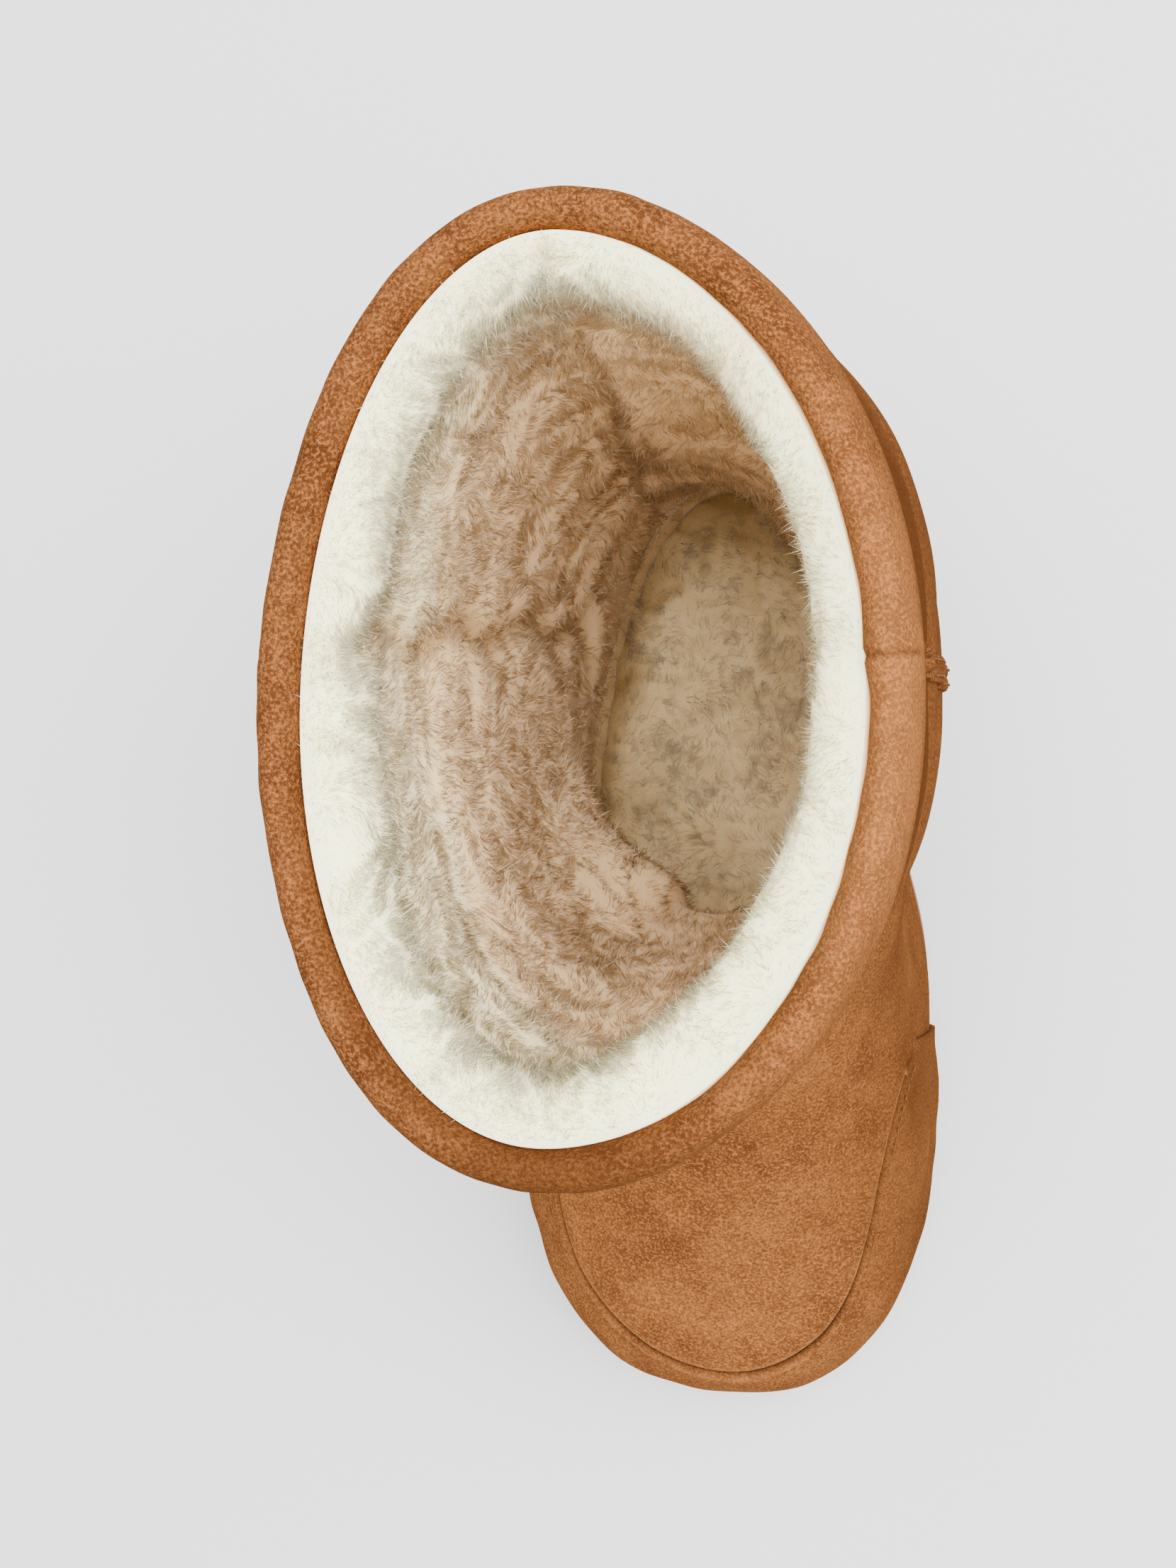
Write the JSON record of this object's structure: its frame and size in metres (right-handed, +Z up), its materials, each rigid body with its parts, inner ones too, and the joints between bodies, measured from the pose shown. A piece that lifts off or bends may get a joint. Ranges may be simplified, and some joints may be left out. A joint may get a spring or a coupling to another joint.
{
  "type": "sheepskin boot",
  "caption": "Tall pull-on sheepskin boot for the right foot: chestnut suede shaft and foot, deep cream fleece inside, bound collar, toe band and a flat foam sole.",
  "frame": {"origin": "on the floor, under the middle of the boot's box", "axes": "+Z up the shaft, the toe towards -Y, the heel towards +Y, the big-toe side towards +X"},
  "size_m": [0.1206, 0.2566, 0.32],
  "materials": {
    "suede": "chestnut suede with a short mottled nap",
    "binding_suede": "chestnut suede strip, turned and stitched",
    "fleece": "deep sheared wool, cream at the tips and tan in the depth",
    "footbed_fleece": "pressed wool pile, tan",
    "sole_foam": "matt moulded foam rubber"
  },
  "bodies": {
    "root": {"outsole": "sole_foam", "insole": "footbed_fleece", "upper": "suede", "fleece_lining": "fleece", "collar_binding": "binding_suede", "toe_band": "suede", "side_seam_medial": "binding_suede", "side_seam_lateral": "binding_suede"}
  },
  "joints": []
}
